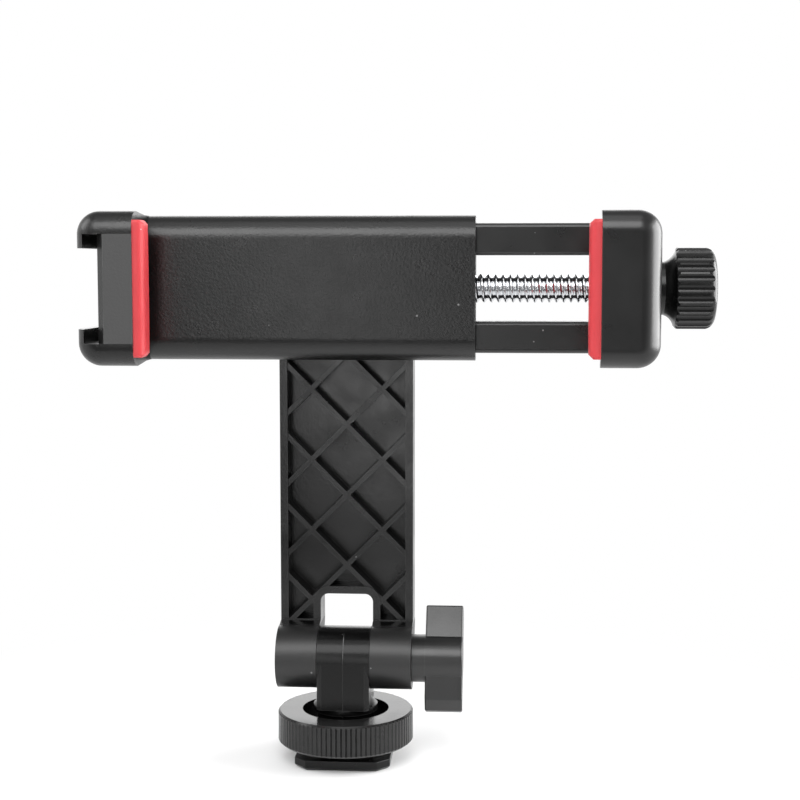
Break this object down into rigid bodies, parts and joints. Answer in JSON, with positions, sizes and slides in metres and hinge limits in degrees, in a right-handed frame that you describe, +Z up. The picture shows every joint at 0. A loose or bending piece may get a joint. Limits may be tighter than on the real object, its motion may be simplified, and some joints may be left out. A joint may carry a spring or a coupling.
{
  "type": "tripod phone mount adapter",
  "caption": "Phone clamp with a screw-driven jaw on a ribbed tilting arm, over a shoe foot with a lock ring and a tripod thread.",
  "frame": {"origin": "middle of the shoe foot's underside, on the axis of the tripod thread", "axes": "+X along the clamp from the fixed jaw to the clamp knob, +Y away from the phone towards the arm's back, +Z up from the foot along the upright arm"},
  "size_m": [0.1142, 0.0411, 0.1068],
  "materials": {
    "clamp_plastic": "moulded black plastic with a fine grain, half matt",
    "arm_plastic": "moulded black plastic, satin",
    "ring_plastic": "moulded black plastic, matt",
    "foot_plastic": "moulded black plastic, glossy",
    "knob_plastic": "moulded black plastic, satin",
    "red_rubber": "soft coral red rubber, satin",
    "screw_chrome": "bright plated steel",
    "steel": "zinc plated steel",
    "brass": "turned brass",
    "fibre": "dark pressed fibre"
  },
  "bodies": {
    "foot": {"shoe_foot": "foot_plastic", "tripod_insert": "brass", "tilt_knuckle": "arm_plastic"},
    "ring": {"lock_ring": "ring_plastic"},
    "arm": {"arm": "arm_plastic", "hinge_bolt": "steel", "pivot_washer": "steel", "pivot_friction_disc": "fibre"},
    "wing_knob": {"wing_knob": "knob_plastic", "wing_knob_nut": "brass"},
    "clamp": {"clamp_body": "clamp_plastic", "fixed_jaw_pad": "red_rubber", "lead_nut": "steel", "pivot_screw": "steel", "pivot_spring_washer": "steel", "pivot_nut": "steel"},
    "moving_jaw": {"moving_jaw": "clamp_plastic", "moving_jaw_pad": "red_rubber"},
    "screw": {"lead_screw": "screw_chrome", "screw_retaining_ring": "steel", "screw_thrust_washer": "steel", "clamp_knob": "knob_plastic"}
  },
  "joints": [
    {"name": "ring_turn", "type": "hinge", "parent": "foot", "child": "ring", "pos_m": [0, 0, 0.006], "axis": [0, 0, 1], "continuous": true},
    {"name": "arm_tilt", "type": "hinge", "parent": "foot", "child": "arm", "pos_m": [0, 0, 0.0202], "axis": [1, 0, 0], "range_deg": [-90, 90]},
    {"name": "wing_turn", "type": "hinge", "parent": "arm", "child": "wing_knob", "pos_m": [0.0166, 0, 0.0202], "axis": [1, 0, 0], "continuous": true},
    {"name": "clamp_turn", "type": "hinge", "parent": "arm", "child": "clamp", "pos_m": [0, -0.003, 0.093], "axis": [0, 1, 0], "continuous": true},
    {"name": "jaw_slide", "type": "slide", "parent": "clamp", "child": "moving_jaw", "axis": [1, 0, 0], "range_m": [-0.0209, 0]},
    {"name": "screw_turn", "type": "hinge", "parent": "moving_jaw", "child": "screw", "pos_m": [0.06, -0.0127, 0.093], "axis": [1, 0, 0], "range_deg": [-5700, 0]}
  ],
  "couplings": [
    {"joint": "screw_turn", "follows": "jaw_slide", "rad_per_m": 4760}
  ]
}
